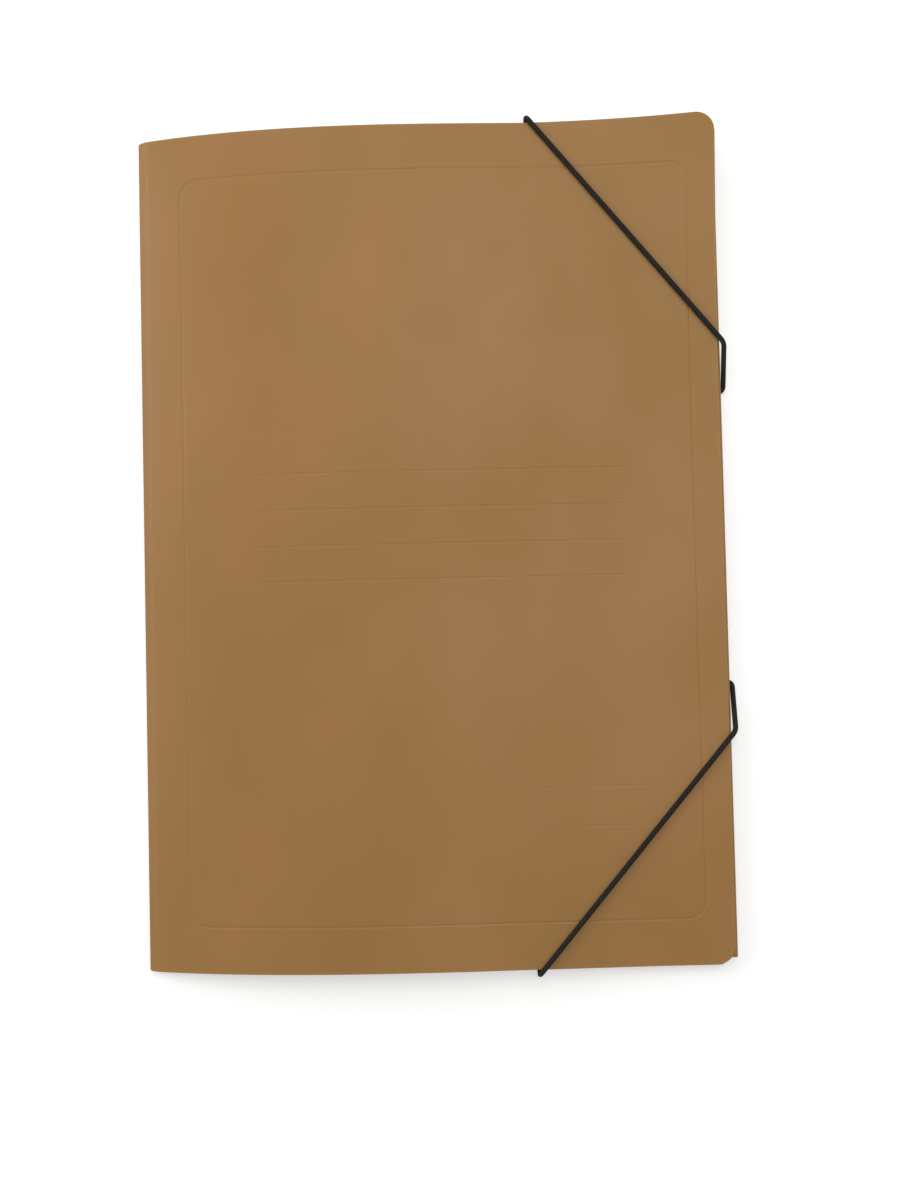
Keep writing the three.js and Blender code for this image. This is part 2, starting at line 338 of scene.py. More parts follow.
def flat_pattern(name: str, across: np.ndarray, along: np.ndarray) -> bpy.types.Object:
    """A grid primitive with a cell for each step of the two lists, laid out flat as a cut pattern.

    Args:
        name: The piece's name.
        across: Stations across the sheet, from the spine outwards, in millimetres.
        along: Stations along the sheet, in millimetres.

    Returns:
        The sheet, its vertices at their pattern places in millimetres.
    """
    clear_selection()
    cells = len(across) - 1, len(along) - 1
    bpy.ops.mesh.primitive_grid_add(x_subdivisions=cells[0], y_subdivisions=cells[1], size=2.0)
    sheet = bpy.context.object
    sheet.name = name
    points = points_of(sheet)
    i = np.rint((points[:, 0] + 1) / 2 * cells[0]).astype(int)
    j = np.rint((points[:, 1] + 1) / 2 * cells[1]).astype(int)
    move_points(sheet, np.column_stack([across[i], along[j], np.zeros(len(points))]))
    return sheet


def edit_only(piece: bpy.types.Object, parts: str, chosen: np.ndarray) -> None:
    """Opens a piece in edit mode with nothing but the chosen vertices or faces selected.

    Args:
        piece: The mesh object.
        parts: What is chosen among, vertices or polygons.
        chosen: Says of each whether it is selected.
    """
    choose(piece)
    faces = parts == "polygons"
    bpy.context.tool_settings.mesh_select_mode = (not faces, False, faces)
    bpy.ops.object.mode_set(mode="EDIT")
    bpy.ops.mesh.select_all(action="DESELECT")
    bpy.ops.object.mode_set(mode="OBJECT")
    getattr(piece.data, parts).foreach_set("select", chosen)
    bpy.ops.object.mode_set(mode="EDIT")


def cut_away(
    sheet: bpy.types.Object, waste: Callable[[np.ndarray, np.ndarray], np.ndarray]
) -> None:
    """Deletes the cells of a flat pattern that its die cuts away.

    Args:
        sheet: The flat pattern.
        waste: Says for cell centres which of them are cut away.
    """
    centres = np.empty(len(sheet.data.polygons) * 3)
    sheet.data.polygons.foreach_get("center", centres)
    centres = centres.reshape(-1, 3)
    edit_only(sheet, "polygons", waste(centres[:, 0], centres[:, 1]))
    bpy.ops.mesh.delete(type="FACE")
    bpy.ops.object.mode_set(mode="OBJECT")


def keep_value(piece: bpy.types.Object, name: str, values: np.ndarray) -> None:
    """Stores a value for each vertex, for the material to read."""
    attribute = piece.data.attributes.new(name, "FLOAT", "POINT")
    attribute.data.foreach_set("value", values.astype(np.float32))


def weigh(piece: bpy.types.Object, name: str, weights: np.ndarray) -> None:
    """Paints a vertex group with a weight for each vertex."""
    group = piece.vertex_groups.new(name=name)
    for index in np.nonzero(weights > 1e-4)[0]:
        group.add([int(index)], float(weights[index]), "REPLACE")


def thicken(sheet: bpy.types.Object, thickness: float, rim_slot: int = 0) -> None:
    """Gives a middle surface its thickness, in millimetres, half to either side."""
    apply_modifier(
        sheet,
        "SOLIDIFY",
        thickness=thickness * MM,
        offset=0.0,
        use_even_offset=True,
        material_offset_rim=rim_slot,
    )


def give_thickness(sheet: bpy.types.Object) -> None:
    """Makes a solid of card from its middle surface, with softened cut edges.

    The edge that meets the strip of the middle crease stays square, so that the two lie flush.

    Args:
        sheet: The middle surface, in metres.
    """
    joint = (SHEET_ORIGIN_X + SIZES.crease_strip + SIZES.card / 2) * MM
    thicken(sheet, SIZES.card, rim_slot=1)
    weights = sheet.data.attributes.new("bevel_weight_edge", "FLOAT", "EDGE")
    mesh = bmesh.new()
    mesh.from_mesh(sheet.data)
    values = np.zeros(len(mesh.edges), np.float32)
    for edge in mesh.edges:
        if len(edge.link_faces) == 2 and edge.calc_face_angle() > math.radians(SHARP_EDGE):
            values[edge.index] = 0.0 if max(v.co.x for v in edge.verts) < joint else 1.0
    mesh.free()
    weights.data.foreach_set("value", values)
    apply_modifier(
        sheet,
        "BEVEL",
        width=CUT_EDGE_ROUND * MM,
        segments=2,
        limit_method="WEIGHT",
        use_clamp_overlap=False,
    )
    smooth_by_angle(sheet)


def finish_strip(
    strip: bpy.types.Object, wall: float, rounding: float, plating: bpy.types.Material
) -> None:
    """Makes a plated metal fitting from the middle surface of its strip.

    Args:
        strip: The middle surface.
        wall: The strip's thickness, in millimetres.
        rounding: How far its edges are rounded, in millimetres.
        plating: The metal's finish.
    """
    choose(strip)
    bpy.ops.object.transform_apply(location=True, rotation=True, scale=True)
    thicken(strip, wall)
    apply_modifier(
        strip,
        "BEVEL",
        width=rounding * MM,
        segments=3,
        limit_method="ANGLE",
        angle_limit=math.radians(STRIP_EDGE),
    )
    strip.data.materials.append(plating)
    smooth_by_angle(strip)


def add_node(
    tree: bpy.types.NodeTree,
    kind: str,
    settings: dict[str, Any] | None = None,
    inputs: dict[str | int, Any] | None = None,
) -> bpy.types.Node:
    """Adds a node with its settings, values and links.

    Args:
        tree: The material's or world's node tree.
        kind: The node's type without the ShaderNode prefix.
        settings: Properties of the node.
        inputs: Values for its sockets. An output socket is linked.

    Returns:
        The new node.
    """
    node = tree.nodes.new("ShaderNode" + kind)
    for key, value in (settings or {}).items():
        setattr(node, key, value)
    for key, value in (inputs or {}).items():
        if isinstance(value, bpy.types.NodeSocket):
            tree.links.new(value, node.inputs[key])
        else:
            node.inputs[key].default_value = value
    return node


def paint_ramp(node: bpy.types.Node, stops: list[tuple[float, str]]) -> None:
    """Sets the colour ramp's stops from places and hex colours."""
    ramp = node.color_ramp
    while len(ramp.elements) < len(stops):
        ramp.elements.new(0.5)
    for element, (place, colour) in zip(ramp.elements, stops):
        element.position = place
        element.color = linear(colour)


def new_material(name: str) -> tuple[bpy.types.Material, bpy.types.NodeTree, bpy.types.Node]:
    """A material with only its output and a Principled shader."""
    material = bpy.data.materials.new(name)
    material.use_nodes = True
    tree = material.node_tree
    tree.nodes.clear()
    shader = add_node(tree, "BsdfPrincipled")
    add_node(tree, "OutputMaterial", inputs={"Surface": shader.outputs["BSDF"]})
    return material, tree, shader


def stretched_noise(
    tree: bpy.types.NodeTree,
    where: bpy.types.NodeSocket,
    grain: tuple[float, float, float],
    detail: float,
) -> bpy.types.NodeSocket:
    """Noise whose grain has a real size.

    Args:
        tree: The material's node tree.
        where: The coordinates to read, in metres.
        grain: Size of a grain along each axis, in millimetres.
        detail: How many finer layers are added.

    Returns:
        The noise, from 0 to 1.
    """
    scale = tuple(1 / (size * MM) for size in grain)
    place = add_node(tree, "Mapping", {"vector_type": "POINT"}, {"Vector": where, "Scale": scale})
    noise = add_node(
        tree,
        "TexNoise",
        inputs={
            "Vector": place.outputs["Vector"],
            "Scale": 1.0,
            "Detail": detail,
            "Roughness": 0.55,
        },
    )
    return noise.outputs["Fac"]


@dataclass(frozen=True)
class GlazedPressboard:
    """Glazed pressboard: long-fibred board run through hot steel rolls.

    The rolls leave a smooth satin face. The tan drifts between a greener and a redder brown in
    clouds as wide as a hand, under very fine fibres, and is a little paler where creases and edges
    are rubbed. The fibres are drawn coarser than real ones, so that they show.
    """

    name: str = "glazed_pressboard"
    deep: str = "#9B6F3D"
    green: str = "#9D743E"
    red: str = "#A17542"
    pale: str = "#A57A46"
    rubbed: str = "#B48E5E"
    roughness: float = 0.5
    cloud: float = 62.0
    fibre: tuple[float, float, float] = (0.5, 1.1, 0.5)
    fibre_share: float = 0.16
    grain: float = 0.35
    rub_strength: float = 0.55

    def material(self) -> bpy.types.Material:
        """The board's face."""
        material, tree, shader = new_material(self.name)
        where = add_node(tree, "TexCoord").outputs["Object"]
        cloud = stretched_noise(tree, where, (self.cloud, self.cloud * 1.4, self.cloud), 2.0)
        fibre = stretched_noise(tree, where, self.fibre, 3.0)
        grain = stretched_noise(tree, where, (self.grain,) * 3, 2.0)
        clouds = add_node(
            tree, "Math", {"operation": "MULTIPLY"}, {0: cloud, 1: 1 - self.fibre_share}
        )
        mottle = add_node(
            tree,
            "Math",
            {"operation": "MULTIPLY_ADD"},
            {0: fibre, 1: self.fibre_share, 2: clouds.outputs[0]},
        )
        tone = add_node(tree, "ValToRGB", inputs={"Fac": mottle.outputs[0]})
        stops = [(0.25, self.deep), (0.44, self.green), (0.56, self.red), (0.78, self.pale)]
        paint_ramp(tone, stops)
        wear = add_node(tree, "Attribute", {"attribute_name": "wear"}).outputs["Fac"]
        patchy = add_node(
            tree, "MapRange", inputs={"Value": grain, "From Min": 0.35, "From Max": 0.7}
        )
        rubbing = add_node(
            tree, "Math", {"operation": "MULTIPLY"}, {0: wear, 1: patchy.outputs["Result"]}
        )
        share = add_node(
            tree, "Math", {"operation": "MULTIPLY"}, {0: rubbing.outputs[0], 1: self.rub_strength}
        )
        colour = add_node(
            tree,
            "Mix",
            {"data_type": "RGBA"},
            {0: share.outputs[0], 6: tone.outputs["Color"], 7: linear(self.rubbed)},
        )
        gloss = add_node(
            tree,
            "MapRange",
            inputs={
                "Value": mottle.outputs[0],
                "From Min": 0.3,
                "From Max": 0.7,
                "To Min": self.roughness + 0.05,
                "To Max": self.roughness - 0.04,
            },
        )
        height = add_node(
            tree, "Math", {"operation": "MULTIPLY_ADD"}, {0: fibre, 1: 0.6, 2: grain}
        )
        bump = add_node(
            tree,
            "Bump",
            inputs={"Strength": 0.2, "Distance": 0.02 * MM, "Height": height.outputs[0]},
        )
        tree.links.new(colour.outputs[2], shader.inputs["Base Color"])
        tree.links.new(gloss.outputs["Result"], shader.inputs["Roughness"])
        tree.links.new(bump.outputs["Normal"], shader.inputs["Normal"])
        shader.inputs["IOR"].default_value = 1.45
        shader.inputs["Specular IOR Level"].default_value = 0.38
        return material


@dataclass(frozen=True)
class CutBoardEdge:
    """The die-cut edge of pressboard: unglazed, paler, with the plies showing as fine layers."""

    name: str = "cut_pressboard_edge"
    ply: str = "#A07A50"
    between: str = "#8A6743"
    layer: float = 0.12

    def material(self) -> bpy.types.Material:
        """The board's cut edge."""
        material, tree, shader = new_material(self.name)
        where = add_node(tree, "TexCoord").outputs["Object"]
        plies = stretched_noise(tree, where, (2.5, 2.5, self.layer), 2.0)
        tone = add_node(tree, "ValToRGB", inputs={"Fac": plies})
        paint_ramp(tone, [(0.35, self.between), (0.65, self.ply)])
        bump = add_node(
            tree, "Bump", inputs={"Strength": 0.5, "Distance": 0.04 * MM, "Height": plies}
        )
        tree.links.new(tone.outputs["Color"], shader.inputs["Base Color"])
        tree.links.new(bump.outputs["Normal"], shader.inputs["Normal"])
        shader.inputs["Roughness"].default_value = 0.85
        return material


@dataclass(frozen=True)
class BraidedElastic:
    """Braided elastic: rubber under a tubular braid of dull black textured yarn.

    Two sets of yarns wind round it in opposite turns and pass over and under each other, so that
    each crossing is a small slanting lozenge. They are drawn coarser than real ones, so that they
    show. The hollows between the yarns are painted near black as painted shade. A little pale lint
    clings to the crests.
    """

    name: str = "braided_elastic"
    # painted shade: the near-black tone of the braid's hollows stands for the shade between the
    # yarns
    shaded_hollow: str = "#080808"
    crest: str = "#262421"
    lint: str = "#5C5751"
    lozenge: float = 1.3
    girth: float = SIZES.cord * math.pi
    turns: int = 6
    crossing_sharpness: float = 0.3
    fuzz: float = 0.35

    def material(self) -> bpy.types.Material:
        """The braid, on the strap's own UV map, whose unit is a millimetre."""
        material, tree, shader = new_material(self.name)
        where = add_node(tree, "UVMap", {"uv_map": "braid"}).outputs["UV"]
        place = add_node(tree, "SeparateXYZ", inputs={"Vector": where})
        per_length, per_girth = math.pi / self.lozenge, math.pi * self.turns / self.girth
        along = add_node(
            tree, "Math", {"operation": "MULTIPLY"}, {0: place.outputs["Y"], 1: per_length}
        )
        waves, crowns, floats = [], [], []
        for hand in (1, -1):
            phase = add_node(
                tree,
                "Math",
                {"operation": "MULTIPLY_ADD"},
                {0: place.outputs["X"], 1: hand * per_girth, 2: along.outputs[0]},
            )
            wave = add_node(tree, "Math", {"operation": "SINE"}, {0: phase.outputs[0]})
            crown = add_node(tree, "Math", {"operation": "ABSOLUTE"}, {0: wave.outputs[0]})
            waves.append(wave.outputs[0])
            crowns.append(crown.outputs[0])
            soft = add_node(
                tree,
                "Math",
                {"operation": "POWER"},
                {0: crown.outputs[0], 1: self.crossing_sharpness},
            )
            floats.append(soft.outputs[0])
        parity = add_node(tree, "Math", {"operation": "MULTIPLY"}, {0: waves[0], 1: waves[1]})
        over = add_node(tree, "Math", {"operation": "GREATER_THAN"}, {0: parity.outputs[0], 1: 0.0})
        yarns = [
            add_node(tree, "Math", {"operation": "MULTIPLY"}, {0: crown, 1: under}).outputs[0]
            for crown, under in zip(crowns, reversed(floats))
        ]
        braid = add_node(
            tree, "Mix", {"data_type": "FLOAT"}, {0: over.outputs[0], 2: yarns[0], 3: yarns[1]}
        )
        fuzz = add_node(tree, "TexNoise", inputs={"Vector": where, "Scale": 2.2, "Detail": 3.0})
        level = add_node(
            tree,
            "Math",
            {"operation": "MULTIPLY_ADD"},
            {0: fuzz.outputs["Fac"], 1: self.fuzz, 2: braid.outputs[0]},
        )
        shade = add_node(tree, "Math", {"operation": "MULTIPLY"}, {0: level.outputs[0], 1: 0.8})
        tone = add_node(tree, "ValToRGB", inputs={"Fac": shade.outputs[0]})
        # painted shade in the hollows between the yarns, rising to the yarn's own crest tone, with
        # lint on top
        paint_ramp(tone, [(0.25, self.shaded_hollow), (0.85, self.crest), (1.0, self.lint)])
        bump = add_node(
            tree,
            "Bump",
            inputs={"Strength": 0.9, "Distance": 0.15 * MM, "Height": level.outputs[0]},
        )
        tree.links.new(tone.outputs["Color"], shader.inputs["Base Color"])
        tree.links.new(bump.outputs["Normal"], shader.inputs["Normal"])
        shader.inputs["Roughness"].default_value = 0.78
        shader.inputs["Specular IOR Level"].default_value = 0.2
        return material


@dataclass(frozen=True)
class PlatedSteel:
    """Nickel-plated steel strip: warm grey metal, a little cloudy, with fine rub marks."""

    name: str = "nickel_plated_steel"
    metal: str = "#BDB7AA"
    dulled: str = "#A59F92"
    cloud: float = 1.6

    def material(self) -> bpy.types.Material:
        """The plating."""
        material, tree, shader = new_material(self.name)
        where = add_node(tree, "TexCoord").outputs["Object"]
        cloud = stretched_noise(tree, where, (self.cloud,) * 3, 2.0)
        rubs = stretched_noise(tree, where, (0.12, 1.8, 0.12), 2.0)
        tone = add_node(tree, "ValToRGB", inputs={"Fac": cloud})
        paint_ramp(tone, [(0.35, self.dulled), (0.65, self.metal)])
        gloss = add_node(tree, "MapRange", inputs={"Value": cloud, "To Min": 0.36, "To Max": 0.24})
        bump = add_node(
            tree, "Bump", inputs={"Strength": 0.25, "Distance": 0.01 * MM, "Height": rubs}
        )
        tree.links.new(tone.outputs["Color"], shader.inputs["Base Color"])
        tree.links.new(gloss.outputs["Result"], shader.inputs["Roughness"])
        tree.links.new(bump.outputs["Normal"], shader.inputs["Normal"])
        shader.inputs["Metallic"].default_value = 1.0
        return material


class Finishes:
    """The four finishes, each made once and shared by the pieces."""

    def __init__(self) -> None:
        """Makes the materials."""
        self.board = GlazedPressboard().material()
        self.cut_edge = CutBoardEdge().material()
        self.braid = BraidedElastic().material()
        self.plating = PlatedSteel().material()

    def dress_card(self, sheet: bpy.types.Object) -> None:
        """Gives a card piece its glazed faces and its cut edges."""
        for slot in (self.board, self.cut_edge):
            sheet.data.materials.append(slot)


@dataclass
class FrontCover:
    """The arched front cover with its half of the spine, blind-embossed frame and writing lines."""

    sizes: FolderSizes = SIZES
    frame_from: float = 19.0
    frame_to: float = 230.5
    frame_half: float = 155.5
    frame_radius: float = 7.5
    frame_depth: float = 0.17
    frame_line: float = 0.8
    label_from: float = 48.5
    label_to: float = 202.0
    label_rows: tuple[float, ...] = (30.0, 15.0, 0.0, -14.5)
    label_depth: float = 0.1
    label_line: float = 0.6
    plate_from: float = 164.0
    plate_to: float = 212.0
    plate_rows: tuple[float, float] = (-117.0, -101.0)
    plate_depth: float = 0.07
    crease_round: float = 0.25
    crease_depth: float = 0.1
    curl: float = 11.0
    curl_margins: tuple[float, float] = (3.0, 1.4)
    rest_spread: float = 30.0
    rest_gap: float = 0.06
    wave_height: float = 0.16
    rubbed_edge: float = 1.2
    rubbed_crease: float = 0.7

    def build(self, finishes: Finishes) -> bpy.types.Object:
        """Models the cover and puts it on its body.

        Args:
            finishes: The shared materials.

        Returns:
            The finished piece.
        """
        sheet = flat_pattern("cover_board", self.across(), self.along())
        points = points_of(sheet)
        x, y = points[:, 0], points[:, 1]
        relief, wear = self.relief(x, y), self.wear(x, y)
        move_points(sheet, self.placed(x, y) * MM)
        weigh(sheet, "relief", relief)
        keep_value(sheet, "wear", wear)
        apply_modifier(
            sheet,
            "DISPLACE",
            strength=-self.frame_depth * MM,
            mid_level=0.0,
            direction="NORMAL",
            vertex_group="relief",
        )
        sheet.vertex_groups.clear()
        finishes.dress_card(sheet)
        give_thickness(sheet)
        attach(sheet, "cover")
        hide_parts("front_cover")
        return sheet

    def across(self) -> np.ndarray:
        """Stations from the hinge to the fore edge, close together at creases and embossing."""
        sizes = self.sizes
        depth, reach, corner = sizes.spine_depth, sizes.cover_reach, sizes.cover_corner
        near = [(depth, 1.5, 0.25), (self.frame_from, 1.0, 0.2), (self.frame_to, 1.0, 0.2)]
        near += [(self.frame_from + 4.4, 3.8, 0.45), (self.frame_to - 4.4, 3.8, 0.45)]
        near += [(self.label_from, 0.6, 0.3), (self.label_to, 0.6, 0.3)]
        near += [(self.plate_from + 0.6, 1.2, 0.24), (self.plate_to - 0.6, 1.2, 0.24)]
        near += [(reach - 0.8, 0.8, 0.4), (reach - corner / 2, corner / 2, 0.8)]
        return stations(sizes.crease_strip * depth / sizes.spine_facet, reach, 4.0, near)

    def along(self) -> np.ndarray:
        """Stations from end to end, close together at the edges and the embossed lines."""
        half = self.sizes.cover_half
        near = []
        for side in (1, -1):
            near += [(side * self.frame_half, 1.0, 0.2)]
            near += [(side * (self.frame_half - 4.4), 3.8, 0.45)]
            near += [(side * (half - 0.8), 0.8, 0.4)]
        near += [(row, 0.75, 0.19) for row in self.label_rows]
        near += [(row, 1.0, 0.22) for row in self.plate_rows]
        return stations(-half, half, 5.0, near)

    def placed(self, x: np.ndarray, y: np.ndarray) -> np.ndarray:
        """Where the middle of the card lies for places on the flat cover.

        Args:
            x: From the middle crease, in millimetres.
            y: From the middle of the spine, in millimetres.

        Returns:
            Rows of x, y and z in millimetres, in the shared frame.
        """
        sizes = self.sizes
        facet = sizes.hinge_level + sizes.spine_rise / 2 * x / sizes.spine_depth
        slope = ARCH_SCALE * sizes.cover_arch / (sizes.cover_reach - sizes.spine_depth)
        arch = sizes.cover_height(x) + slope * np.minimum(0.0, x - sizes.spine_depth)
        blend = np.maximum(self.crease_round - np.abs(facet - arch), 0) / self.crease_round
        height = np.minimum(facet, arch) - blend**2 * self.crease_round / 4
        before = sizes.cover_corner - (sizes.cover_reach - x)
        chord = np.sqrt(np.maximum(0, sizes.cover_corner**2 - np.maximum(0, before) ** 2))
        side = (sizes.cover_half - (sizes.cover_corner - chord)) / sizes.cover_half
        y = y * side
        height = height + self.held_up(x, y) + self.curled(x, y) + self.waves(x, y)
        return np.column_stack([x + SHEET_ORIGIN_X, y, height])

    def held_up(self, x: np.ndarray, y: np.ndarray) -> np.ndarray:
        """How far the card bulges up to lie along the straight strands of the two straps.

        Args:
            x: From the middle crease, in millimetres.
            y: From the middle of the spine, in millimetres.

        Returns:
            The bulge's height for each place, in millimetres.
        """
        sizes, total = self.sizes, np.zeros_like(x)
        stand = sizes.clearance + sizes.cord / 2
        for end, strap in STRAPS.items():
            side = end.value
            start = np.array([sizes.width + stand, side * (sizes.half_length - strap.onto_cover)])
            stop = np.array([sizes.width - strap.crosses_end, side * (sizes.half_length + stand)])
            low = float(sizes.cover_height(np.array(sizes.cover_reach)))
            high = float(sizes.cover_height(np.array(stop[0])))
            run = (stop - start) / np.linalg.norm(stop - start)
            along = (x - start[0]) * run[0] + (y - start[1]) * run[1]
            off = (x - start[0]) * run[1] - (y - start[1]) * run[0]
            share = np.clip(along / np.linalg.norm(stop - start), 0, 1)
            line_x = start[0] + share * (stop[0] - start[0])
            line_y = start[1] + share * (stop[1] - start[1])
            card = sizes.cover_height(line_x)
            card = card + self.curled(line_x, line_y) + self.waves(line_x, line_y)
            gap = low + share * (high - low) - card
            gap += (sizes.clearance - self.rest_gap) * np.sin(math.pi * share) ** 0.25
            total += gap * np.exp(-((off / self.rest_spread) ** 2))
        return total

    def curled(self, x: np.ndarray, y: np.ndarray) -> np.ndarray:
        """How far the upper outer corner curls up beyond the strap that holds it."""
        sizes, strap = self.sizes, STRAPS[StrapEnd.UPPER]
        before, after = self.curl_margins
        start = np.array([sizes.width - strap.crosses_end - before, sizes.cover_half])
        stop = np.array([sizes.width, sizes.cover_half - strap.onto_cover + after])
        run = (stop - start) / np.linalg.norm(stop - start)
        reach = (sizes.cover_reach - start[0]) * -run[1]
        beyond = (x - start[0]) * -run[1] + (y - start[1]) * run[0]
        return self.curl * np.clip(beyond / reach, 0, 1) ** 1.5

    def waves(self, x: np.ndarray, y: np.ndarray) -> np.ndarray:
        """The shallow unevenness of a large sheet of board, none at the spine and fore edge."""
        t = self.sizes.ramp(x, self.sizes.spine_depth, self.sizes.cover_reach)
        wave = np.sin(x / 31 + y / 47 + 0.6) + 0.7 * np.sin(x / 55 - y / 29 + 2.1)
        return self.wave_height * wave * np.sin(math.pi * t)

    def relief(self, x: np.ndarray, y: np.ndarray) -> np.ndarray:
        """Depth of the blind embossing, as a share of the frame's depth.

        Args:
            x: From the middle crease, in millimetres.
            y: From the middle of the spine, in millimetres.

        Returns:
            The share for each place, from 0 to 1.
        """
        def line(distance: np.ndarray, half: float, depth: float) -> np.ndarray:
            """A rounded groove along the places where the distance is nought."""
            share = np.clip(np.abs(distance) / half, 0, 1)
            return depth / self.frame_depth * np.cos(share * math.pi / 2) ** 2

        def box(x0: float, x1: float, y0: float, y1: float, radius: float) -> np.ndarray:
            """Distance from the outline of a rectangle with rounded corners."""
            qx = np.abs(x - (x0 + x1) / 2) - ((x1 - x0) / 2 - radius)
            qy = np.abs(y - (y0 + y1) / 2) - ((y1 - y0) / 2 - radius)
            outside = np.hypot(np.maximum(qx, 0), np.maximum(qy, 0))
            return outside + np.minimum(np.maximum(qx, qy), 0) - radius

        half = self.frame_half
        border = box(self.frame_from, self.frame_to, -half, half, self.frame_radius)
        depth = line(border, self.frame_line, self.frame_depth)
        for row in self.label_rows:
            past = np.maximum(0, np.maximum(self.label_from - x, x - self.label_to))
            away = np.hypot(past, y - row)
            depth = np.maximum(depth, line(away, self.label_line, self.label_depth))
        plate = box(self.plate_from, self.plate_to, *self.plate_rows, 2.0)
        depth = np.maximum(depth, line(plate, self.label_line, self.plate_depth))
        crease = line(x - self.sizes.spine_depth - 0.4, 0.8, self.crease_depth)
        return np.clip(np.maximum(depth, crease), 0, 1)

    def wear(self, x: np.ndarray, y: np.ndarray) -> np.ndarray:
        """How rubbed the face is: along the outline and on the creases."""
        sizes = self.sizes
        edge = np.minimum(sizes.cover_reach - x, sizes.cover_half - np.abs(y))
        crease = np.abs(x - sizes.spine_depth)
        on_edge = np.clip(1 - edge / self.rubbed_edge, 0, 1)
        return np.maximum(on_edge, 0.7 * np.clip(1 - crease / self.rubbed_crease, 0, 1))


